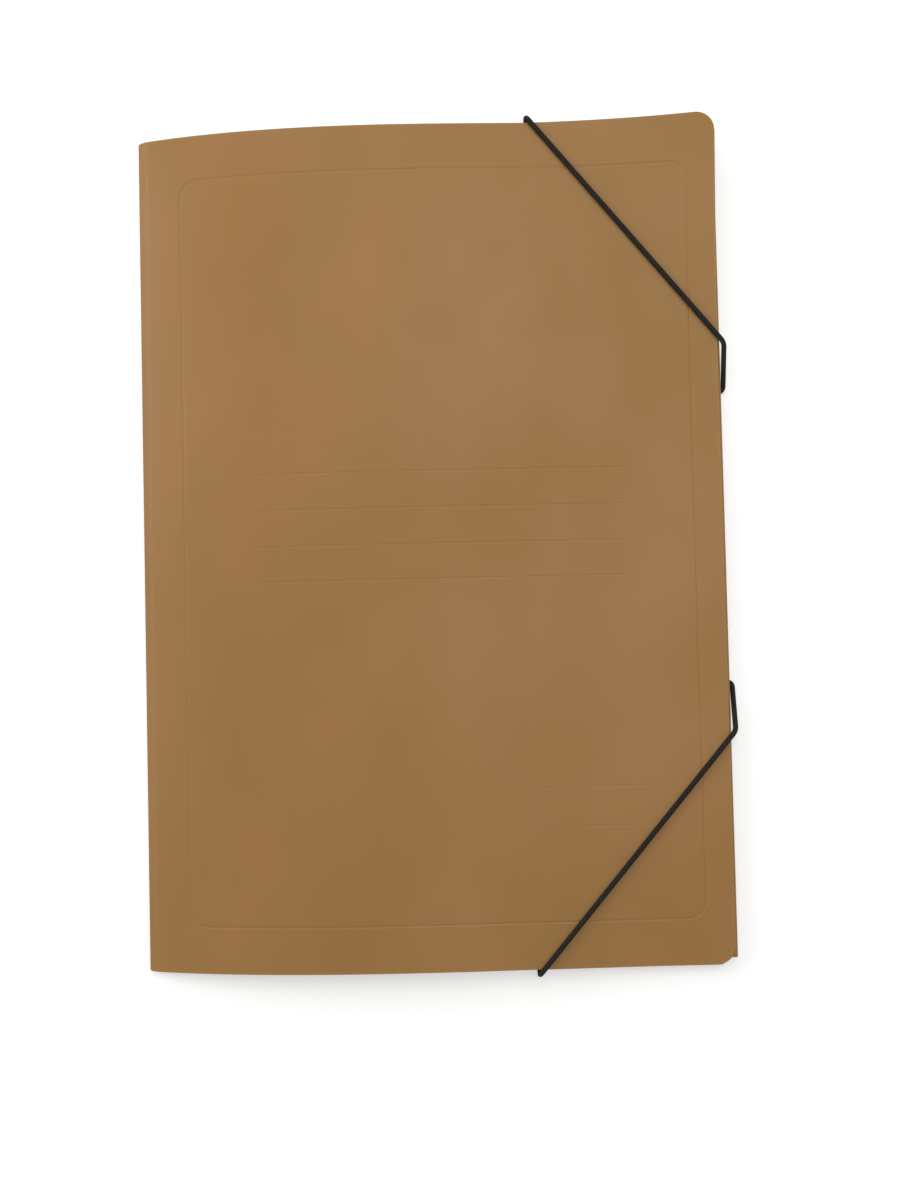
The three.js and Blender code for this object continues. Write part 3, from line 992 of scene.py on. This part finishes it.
@dataclass
class BackAndFlaps:
    """The back panel with its half of the spine and the three inner flaps folded over it."""

    sizes: FolderSizes = SIZES
    fold_steps: int = 12

    def __post_init__(self) -> None:
        """Works out the flat pattern's fold lines from the folder's sizes."""
        sizes = self.sizes
        self.panel_start = sizes.spine_facet
        self.panel_end = self.panel_start + sizes.panel_end - sizes.spine_depth
        self.fore_turn = math.pi * sizes.fore_fold
        self.end_turn = math.pi * sizes.end_fold
        self.sheet_end_u = self.panel_end + self.fore_turn + sizes.fore_flap_depth - sizes.fore_fold
        self.sheet_end_v = sizes.panel_top + self.end_turn + sizes.end_flap_depth - sizes.end_fold
        self.flap_from = sizes.spine_depth + sizes.end_flap_start
        self.flap_to = sizes.width - sizes.end_flap_stop
        self.corner_cut = self.pattern(self.flap_to)

    def pattern(self, x: float) -> float:
        """Place on the flat pattern of a place on the panel."""
        return self.panel_start + x - self.sizes.spine_depth

    def build(self, finishes: Finishes) -> bpy.types.Object:
        """Models the sheet, folds it and punches the eyelets' holes.

        Args:
            finishes: The shared materials.

        Returns:
            The finished piece.
        """
        sheet = flat_pattern("back_and_flaps_board", self.across(), self.along())
        cut_away(sheet, self.waste)
        points = points_of(sheet)
        u, v = points[:, 0], points[:, 1]
        wear = self.wear(u, v)
        move_points(sheet, self.placed(u, v) * MM)
        keep_value(sheet, "wear", wear)
        finishes.dress_card(sheet)
        give_thickness(sheet)
        self.punch(sheet)
        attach(sheet, "back")
        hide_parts("back_and_flaps")
        return sheet

    def across(self) -> np.ndarray:
        """Stations across the sheet, close together in the fore fold and at the rounded corners."""
        sizes = self.sizes
        folds = np.linspace(self.panel_end, self.panel_end + self.fore_turn, self.fold_steps + 1)
        corner = np.linspace(self.sheet_end_u - sizes.fore_flap_corner, self.sheet_end_u, 13)
        plain = [
            np.linspace(sizes.crease_strip, self.panel_start, 5),
            np.linspace(self.panel_start, self.pattern(self.flap_from), 4),
            np.linspace(self.pattern(self.flap_from), self.corner_cut - sizes.end_flap_corner, 42),
            np.linspace(self.corner_cut - sizes.end_flap_corner, self.corner_cut, 7),
            np.linspace(self.corner_cut, self.panel_end, 5),
            folds,
            np.linspace(folds[-1], corner[0], 19),
            corner,
        ]
        return np.unique(np.round(np.concatenate(plain), 6))

    def along(self) -> np.ndarray:
        """Stations along the sheet, close together in the end folds and at the flaps' corners."""
        sizes = self.sizes
        top = sizes.panel_top
        parts = [
            np.linspace(0, top, 36),
            np.linspace(top, top + self.end_turn, self.fold_steps + 1),
            np.linspace(top + self.end_turn, self.sheet_end_v - sizes.end_flap_corner, 12),
            np.linspace(self.sheet_end_v - sizes.end_flap_corner, self.sheet_end_v, 11),
        ]
        half = np.unique(np.round(np.concatenate(parts), 6))
        return np.concatenate([-half[:0:-1], half])

    def waste(self, u: np.ndarray, v: np.ndarray) -> np.ndarray:
        """Which cells of the blank the die cuts away beside the end flaps."""
        flap = (u > self.pattern(self.flap_from)) & (u < self.corner_cut)
        return (np.abs(v) > self.sizes.panel_top) & ~flap

    def corner(self, radius: float, before: np.ndarray) -> np.ndarray:
        """How much a rounded corner takes off the side, at a distance before the free edge."""
        inside = np.clip(radius - before, 0, radius)
        return radius - np.sqrt(radius**2 - inside**2)

    def fold(self, past: np.ndarray, radius: float) -> tuple[np.ndarray, np.ndarray]:
        """A half turn of the card about a fold line.

        Args:
            past: Distance past the line on the flat pattern.
            radius: Radius of the turn at the middle of the card.

        Returns:
            The way out from the line and the height gained.
        """
        turn = np.clip(past / radius, 0, math.pi)
        back = np.maximum(0, past - math.pi * radius)
        return radius * np.sin(turn) - back, radius * (1 - np.cos(turn))

    def placed(self, u: np.ndarray, v: np.ndarray) -> np.ndarray:
        """Where the middle of the card lies for places on the flat pattern.

        Args:
            u: Across the pattern from the middle crease, in millimetres.
            v: Along the pattern from the middle of the spine, in millimetres.

        Returns:
            Rows of x, y and z in millimetres, in the shared frame.
        """
        sizes, end = self.sizes, np.sign(v)
        away = u / sizes.spine_facet
        in_spine, drop = u < self.panel_start, sizes.spine_rise / 2
        x = np.where(in_spine, sizes.spine_depth * away, sizes.spine_depth + u - self.panel_start)
        z = np.where(in_spine, sizes.hinge_level - drop * away, sizes.panel_level)
        out, up = self.fold(np.maximum(0, u - self.panel_end), sizes.fore_fold)
        x = np.where(u > self.panel_end, sizes.panel_end + out, x)
        z = z + np.where(u > self.panel_end, up, 0)
        past = np.maximum(0, np.abs(v) - sizes.panel_top)
        out, up = self.fold(past, sizes.end_fold)
        centre, half = (self.flap_from + self.flap_to) / 2, (self.flap_to - self.flap_from) / 2
        flat = sizes.end_flap_depth - sizes.end_fold
        share = sizes.ramp(past, self.end_turn, self.end_turn + flat)
        rounded = self.corner(sizes.end_flap_corner, self.end_turn + flat - past)
        side = (half - sizes.end_flap_taper * share - rounded) / half
        x = np.where(past > 0, centre + (x - centre) * side, x)
        cut = np.where(end > 0, sizes.upper_corner_cut, sizes.lower_corner_cut)
        cut = cut * sizes.ramp(u, self.corner_cut, self.panel_end)
        share = sizes.ramp(u, self.panel_end + self.fore_turn, self.sheet_end_u)
        taper = sizes.fore_flap_taper * share
        taper = taper + self.corner(sizes.fore_flap_corner, self.sheet_end_u - u)
        narrowed = v * (sizes.panel_top - cut - taper) / sizes.panel_top
        y = np.where(past > 0, end * (sizes.panel_top + out), narrowed)
        z = z + np.where(past > 0, up, 0) + sizes.lift(x)
        return np.column_stack([x + SHEET_ORIGIN_X, y, z])

    def wear(self, u: np.ndarray, v: np.ndarray) -> np.ndarray:
        """How rubbed the face is: on the fold lines, and a little at the free edges."""
        sizes = self.sizes
        fold_u = np.abs(u - self.panel_end - self.fore_turn / 2) / (self.fore_turn * 0.7)
        fold_v = np.abs(np.abs(v) - sizes.panel_top - self.end_turn / 2) / (self.end_turn * 0.8)
        crease = np.abs(u - self.panel_start) / 0.8
        return np.clip(1 - np.minimum(np.minimum(fold_u, fold_v), crease), 0, 1)

    def punch(self, sheet: bpy.types.Object) -> None:
        """Punches a round hole through the panel for each eyelet."""
        sizes = self.sizes
        for end, strap in STRAPS.items():
            clear_selection()
            bpy.ops.mesh.primitive_cylinder_add(
                vertices=64,
                radius=(sizes.eyelet_bore + sizes.eyelet_wall + sizes.eyelet_play) * MM,
                depth=2 * sizes.card * MM,
                location=Eyelet(end).centre() * MM,
            )
            cutter = bpy.context.object
            apply_modifier(sheet, "BOOLEAN", operation="DIFFERENCE", object=cutter, solver="EXACT")
            bpy.data.objects.remove(cutter)


@dataclass
class SpineCrease:
    """The spine's middle crease: the narrow strip of the card that bends as the cover turns."""

    sizes: FolderSizes = SIZES
    bend_radius: float = 0.4
    bend_zone: float = 0.42
    hairline: float = 0.01
    cells: tuple[int, int] = (52, 70)

    def build(self, finishes: Finishes) -> bpy.types.Object:
        """Models the strip between the back and the cover, in its closed shape.

        Args:
            finishes: The shared materials.

        Returns:
            The finished piece.
        """
        half = self.sizes.crease_strip - self.hairline
        end = self.sizes.panel_top
        cells_across, cells_along = self.cells
        across = np.linspace(-half, half, cells_across + 1)
        along = np.linspace(-end, end, cells_along + 1)
        sheet = flat_pattern("spine_crease_board", across, along)
        points = points_of(sheet)
        across, along = points[:, 0], points[:, 1]
        wear = np.clip(1 - np.abs(across) / 0.8, 0, 1)
        move_points(sheet, self.placed(across, along) * MM)
        keep_value(sheet, "wear", wear)
        finishes.dress_card(sheet)
        thicken(sheet, self.sizes.card, rim_slot=1)
        smooth_by_angle(sheet)
        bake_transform(sheet)
        return sheet

    def placed(self, across: np.ndarray, along: np.ndarray) -> np.ndarray:
        """Where the middle of the card lies, straight on both facets and round between them.

        Args:
            across: From the crease along the card, negative on the back's side, in millimetres.
            along: From the middle of the spine, in millimetres.

        Returns:
            Rows of x, y and z in millimetres, in the shared frame.
        """
        slope = math.asin(self.sizes.spine_rise / 2 / self.sizes.spine_facet)
        half_turn = math.pi / 2 - slope
        tangent = self.bend_radius * math.tan(half_turn)
        angle = np.clip(across / tangent, -1, 1) * half_turn
        straight = np.maximum(0, np.abs(across) - tangent)
        x = self.bend_radius * (1 / math.sin(slope) - np.cos(angle)) + straight * math.cos(slope)
        rise = self.bend_radius * np.sin(angle) + np.sign(across) * straight * math.sin(slope)
        return np.column_stack([x + SHEET_ORIGIN_X, along, self.sizes.hinge_level + rise])


@dataclass
class ElasticStrap:
    """One corner strap: a loop of braided elastic whose two ends pass its eyelet."""

    end: StrapEnd
    sizes: FolderSizes = SIZES
    step: float = 0.35
    sides: int = 20
    carriers: int = 8
    lay: float = 5.0
    relief: float = 0.045

    def corners(self) -> np.ndarray:
        """The corners of the strap's route, from one end to the other, in millimetres."""
        sizes, strap = self.sizes, STRAPS[self.end]
        hole, behind = sizes.width - sizes.eyelet_inset, sizes.cord / 2
        inside = sizes.panel_lift + sizes.panel_level + sizes.card / 2 + sizes.eyelet_wall
        stand = sizes.clearance + sizes.cord / 2
        crossing = sizes.width - strap.crosses_end

        def on_cover(x: float) -> float:
            """Height of the strand's middle over the cover."""
            return float(sizes.cover_height(np.array(x))) + sizes.card / 2 + stand

        half_pitch = sizes.cord_pitch / 2
        route = [
            (hole + half_pitch, strap.eyelet, inside),
            (hole + half_pitch, strap.eyelet, behind),
            (sizes.width + stand, strap.turns_behind, behind),
            (sizes.width + stand, strap.onto_cover, on_cover(sizes.cover_reach)),
            (crossing, -stand, on_cover(crossing)),
            (crossing, -stand, behind),
            (hole - half_pitch, strap.eyelet, behind),
            (hole - half_pitch, strap.eyelet, inside),
        ]
        return np.array([(x, self.end.value * (sizes.half_length - y), z) for x, y, z in route])

    def route(self) -> np.ndarray:
        """The strand's middle line with its corners rounded, at even steps."""
        corners, line = self.corners(), []
        line.append(corners[0])
        for before, corner, after in zip(corners, corners[1:], corners[2:]):
            gap_in, gap_out = before - corner, after - corner
            reach_in = min(self.sizes.cord_bend, np.linalg.norm(gap_in) / 2)
            reach_out = min(self.sizes.cord_bend, np.linalg.norm(gap_out) / 2)
            enter = corner + gap_in / np.linalg.norm(gap_in) * reach_in
            leave = corner + gap_out / np.linalg.norm(gap_out) * reach_out
            for t in np.linspace(0, 1, 13):
                line.append((1 - t) ** 2 * enter + 2 * t * (1 - t) * corner + t**2 * leave)
        line.append(corners[-1])
        line = np.array(line)
        lengths = np.concatenate([[0], np.cumsum(np.linalg.norm(np.diff(line, axis=0), axis=1))])
        even = np.linspace(0, lengths[-1], int(lengths[-1] / self.step) + 1)
        return np.column_stack([np.interp(even, lengths, line[:, i]) for i in range(3)])

    def build(self, finishes: Finishes) -> bpy.types.Object:
        """Sweeps the braided tube along the route.

        Args:
            finishes: The shared materials.

        Returns:
            The finished piece.
        """
        line = self.route()
        tangents = np.gradient(line, axis=0)
        tangents /= np.linalg.norm(tangents, axis=1)[:, None]
        across = np.cross(tangents[0], (0.0, 1.0, 0.0))
        distance, rings, turns = 0.0, [], np.arange(self.sides) / self.sides * 2 * math.pi
        distances = []
        for i, (point, tangent) in enumerate(zip(line, tangents)):
            across = across - tangent * (across @ tangent)
            across /= np.linalg.norm(across)
            up = np.cross(tangent, across)
            if i:
                distance += float(np.linalg.norm(point - line[i - 1]))
            distances.append(distance)
            twist, yarns = 2 * math.pi * distance / self.lay, self.carriers / 2
            weave = np.cos(yarns * (turns + twist)) * np.cos(yarns * (turns - twist))
            radius = self.sizes.cord / 2 - self.relief + self.relief * weave
            outward = np.outer(np.cos(turns), across) + np.outer(np.sin(turns), up)
            rings.append(point + radius[:, None] * outward)
        points = np.concatenate(rings) + (SHEET_ORIGIN_X, 0, 0)
        mesh = bpy.data.meshes.new(f"elastic_strap_{self.end.name.lower()}")
        count, sides = len(line), self.sides
        faces, places = [], []
        girth = math.pi * self.sizes.cord
        for i in range(count - 1):
            near, far = i * sides, (i + 1) * sides
            for j in range(sides):
                k = (j + 1) % sides
                faces.append((near + j, near + k, far + k, far + j))
                low, high = j / sides * girth, (j + 1) / sides * girth
                places += [(low, distances[i]), (high, distances[i])]
                places += [(high, distances[i + 1]), (low, distances[i + 1])]
        faces.append(tuple(range(sides))[::-1])
        faces.append(tuple(range((count - 1) * sides, count * sides)))
        places += [(0.0, 0.0)] * (2 * sides)
        mesh.from_pydata((points * MM).tolist(), [], faces)
        braid = mesh.uv_layers.new(name="braid")
        braid.data.foreach_set("uv", np.array(places, np.float32).ravel())
        strap = bpy.data.objects.new(mesh.name, mesh)
        bpy.context.scene.collection.objects.link(strap)
        choose(strap)
        bpy.ops.object.mode_set(mode="EDIT")
        bpy.ops.mesh.select_all(action="SELECT")
        bpy.ops.mesh.normals_make_consistent(inside=False)
        bpy.ops.object.mode_set(mode="OBJECT")
        mesh.materials.append(finishes.braid)
        smooth_by_angle(strap, 60.0)
        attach(strap, "back")
        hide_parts(f"elastic_{self.end.name.lower()}")
        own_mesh(strap)
        return strap


@dataclass
class Eyelet:
    """A flanged eyelet clenched through the back panel."""

    end: StrapEnd
    sizes: FolderSizes = SIZES
    lip_roll: float = 0.09

    def centre(self) -> Vector:
        """The middle of the eyelet in the shared frame, in millimetres."""
        sizes = self.sizes
        x = sizes.width - sizes.eyelet_inset + SHEET_ORIGIN_X
        y = self.end.value * (sizes.half_length - STRAPS[self.end].eyelet)
        return Vector((x, y, sizes.panel_lift + sizes.panel_level))

    def build(self, finishes: Finishes) -> bpy.types.Object:
        """Draws the flanges out of a short tube and gives the strip its thickness.

        Args:
            finishes: The shared materials.

        Returns:
            The finished piece.
        """
        sizes, place = self.sizes, self.centre() * MM
        half = (sizes.card / 2 + sizes.eyelet_seat + sizes.eyelet_wall / 2) * MM
        barrel = (sizes.eyelet_bore + sizes.eyelet_wall / 2) * MM
        flange = barrel + (sizes.eyelet_wall / 2 + sizes.eyelet_lip) * MM
        clear_selection()
        bpy.ops.mesh.primitive_cylinder_add(
            vertices=72, radius=barrel, depth=2 * half, end_fill_type="NOTHING", location=place
        )
        tube = bpy.context.object
        tube.name = f"eyelet_{self.end.name.lower()}_plated"
        for side in (1, -1):
            x, y, z = points_of(tube).T
            on_barrel = np.abs(np.hypot(x, y) - barrel) < 0.01 * MM
            edit_only(tube, "vertices", on_barrel & (side * z > 0))
            bpy.ops.mesh.extrude_edges_move()
            grow = flange / barrel
            bpy.ops.transform.resize(value=(grow, grow, 1), center_override=place)
            bpy.ops.object.mode_set(mode="OBJECT")
        finish_strip(tube, sizes.eyelet_wall, self.lip_roll, finishes.plating)
        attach(tube, "back")
        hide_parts(f"eyelet_{self.end.name.lower()}")
        return tube


@dataclass
class Clip:
    """A metal tab folded flat over the two ends of a strap, inside the folder."""

    end: StrapEnd
    sizes: FolderSizes = SIZES
    corner_roll: float = 0.08

    def build(self, finishes: Finishes) -> bpy.types.Object:
        """Folds a strip into a flat clip.

        Args:
            finishes: The shared materials.

        Returns:
            The finished piece.
        """
        sizes = self.sizes
        above = Vector((0, 0, sizes.clip_seat + sizes.clip_wall / 2))
        place = (Eyelet(self.end).centre() + above) * MM
        width = (sizes.clip_width - sizes.clip_wall) * MM
        rise = (sizes.clip_height - sizes.clip_wall) * MM
        clear_selection()
        bpy.ops.mesh.primitive_plane_add(size=1.0, location=place)
        tab = bpy.context.object
        tab.name = f"clip_{self.end.name.lower()}_plated"
        tab.scale = (width, sizes.clip_length * MM, 1)
        bpy.ops.object.transform_apply(location=False, rotation=False, scale=True)
        edit_only(tab, "vertices", points_of(tab)[:, 0] > 0)
        bpy.ops.mesh.extrude_edges_move()
        bpy.ops.transform.translate(value=(0, 0, rise))
        bpy.ops.mesh.extrude_edges_move()
        bpy.ops.transform.translate(value=(-width, 0, 0))
        bpy.ops.mesh.select_all(action="SELECT")
        bpy.ops.mesh.normals_make_consistent(inside=False)
        bpy.ops.object.mode_set(mode="OBJECT")
        finish_strip(tab, sizes.clip_wall, self.corner_roll, finishes.plating)
        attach(tab, "back")
        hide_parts(f"clip_{self.end.name.lower()}")
        return tab


@dataclass(frozen=True)
class SoftLamp:
    """A square soft box: its place, what it points at, its side and its power."""

    name: str
    place: tuple[float, float, float]
    aim: tuple[float, float, float]
    side: float
    watts: float


@dataclass
class Studio:
    """The table, the light and the camera."""

    floor_side: float = 30.0
    floor_tone: str = "#E6E6E4"
    floor_glow: float = 0.45
    sky: float = 0.33
    lamps: tuple[SoftLamp, ...] = (
        SoftLamp("left_softbox", (-1.3, 0.45, 0.8), (0.0, 0.0, 0.0), 0.7, 7.4),
        SoftLamp("overhead_softbox", (0.24, 0.42, 1.25), (0.02, 0.05, 0.0), 0.9, 6.2),
        SoftLamp("top_edge_softbox", (-0.15, 1.15, 0.75), (0.0, 0.0, 0.0), 0.7, 2.8),
    )
    camera_place: tuple[float, float, float] = (0.0318, -0.0467, 0.600)
    camera_turn: tuple[float, float, float] = (2.21, 2.49, -1.32)
    camera_focus: float = 1434.0

    def build(self) -> None:
        """Sets up everything that isn't the folder."""
        scene = bpy.context.scene
        scene.view_settings.view_transform = "Standard"
        self.lay_floor()
        self.light_world(scene)
        for lamp in self.lamps:
            self.hang(lamp)
        self.aim_camera(scene)

    def lay_floor(self) -> None:
        """A pale table top that shows white to the camera and keeps the folder's shadow."""
        clear_selection()
        bpy.ops.mesh.primitive_plane_add(size=self.floor_side)
        floor = bpy.context.object
        floor.name = "table_top"
        material, tree, shader = new_material("pale_table_top")
        output = next(n for n in tree.nodes if n.bl_idname == "ShaderNodeOutputMaterial")
        shader.inputs["Base Color"].default_value = linear(self.floor_tone)
        shader.inputs["Roughness"].default_value = 0.9
        path = add_node(tree, "LightPath")
        seen = add_node(
            tree,
            "Math",
            {"operation": "MAXIMUM"},
            {0: path.outputs["Is Camera Ray"], 1: path.outputs["Is Glossy Ray"]},
        )
        glow = add_node(
            tree, "Math", {"operation": "MULTIPLY"}, {0: seen.outputs[0], 1: self.floor_glow}
        )
        light = add_node(tree, "Emission", inputs={"Strength": glow.outputs[0]})
        both = add_node(tree, "AddShader", inputs={0: shader.outputs[0], 1: light.outputs[0]})
        tree.links.new(both.outputs[0], output.inputs["Surface"])
        floor.data.materials.append(material)

    def light_world(self, scene: bpy.types.Scene) -> None:
        """An even sky, seen as plain white by the camera and by gloss."""
        world = bpy.data.worlds.new("studio_sky")
        world.use_nodes = True
        tree = world.node_tree
        tree.nodes.clear()
        path = add_node(tree, "LightPath")
        seen = path.outputs["Is Camera Ray"]
        for ray in ("Is Transmission Ray", "Is Glossy Ray"):
            both = {0: seen, 1: path.outputs[ray]}
            seen = add_node(tree, "Math", {"operation": "MAXIMUM"}, both).outputs[0]
        strength = add_node(
            tree, "MapRange", inputs={"Value": seen, "To Min": self.sky, "To Max": 1.0}
        )
        sky = add_node(
            tree,
            "Background",
            inputs={"Color": linear("#FFFFFF"), "Strength": strength.outputs["Result"]},
        )
        add_node(tree, "OutputWorld", inputs={"Surface": sky.outputs[0]})
        scene.world = world

    def hang(self, lamp: SoftLamp) -> None:
        """Hangs one soft box."""
        data = bpy.data.lights.new(lamp.name, "AREA")
        data.size = lamp.side
        data.energy = lamp.watts
        light = bpy.data.objects.new(lamp.name, data)
        light.location = lamp.place
        look = Vector(lamp.aim) - Vector(lamp.place)
        light.rotation_euler = look.to_track_quat("-Z", "Y").to_euler()
        bpy.context.scene.collection.objects.link(light)

    def aim_camera(self, scene: bpy.types.Scene) -> None:
        """Puts the camera where the photograph was taken from."""
        data = bpy.data.cameras.new("camera")
        data.sensor_width = 36.0
        data.lens = self.camera_focus / max(PHOTO_WIDTH, PHOTO_HEIGHT) * data.sensor_width
        data.clip_start, data.clip_end = 0.01, 20.0
        camera = bpy.data.objects.new("camera", data)
        camera.location = self.camera_place
        camera.rotation_euler = [math.radians(angle) for angle in self.camera_turn]
        scene.collection.objects.link(camera)
        scene.camera = camera


def main() -> None:
    """Builds the folder's pieces in order, then the studio, and reports each piece."""
    logging.basicConfig(level=logging.INFO, format="%(name)s: %(message)s")
    finishes = Finishes()
    makers = [FrontCover(), BackAndFlaps(), SpineCrease()]
    for end in StrapEnd:
        makers += [ElasticStrap(end), Eyelet(end), Clip(end)]
    for maker in makers:
        piece = maker.build(finishes)
        log.info("%s: %d faces", piece.name, len(piece.data.polygons))
    Studio().build()


if __name__ == "__main__":
    main()
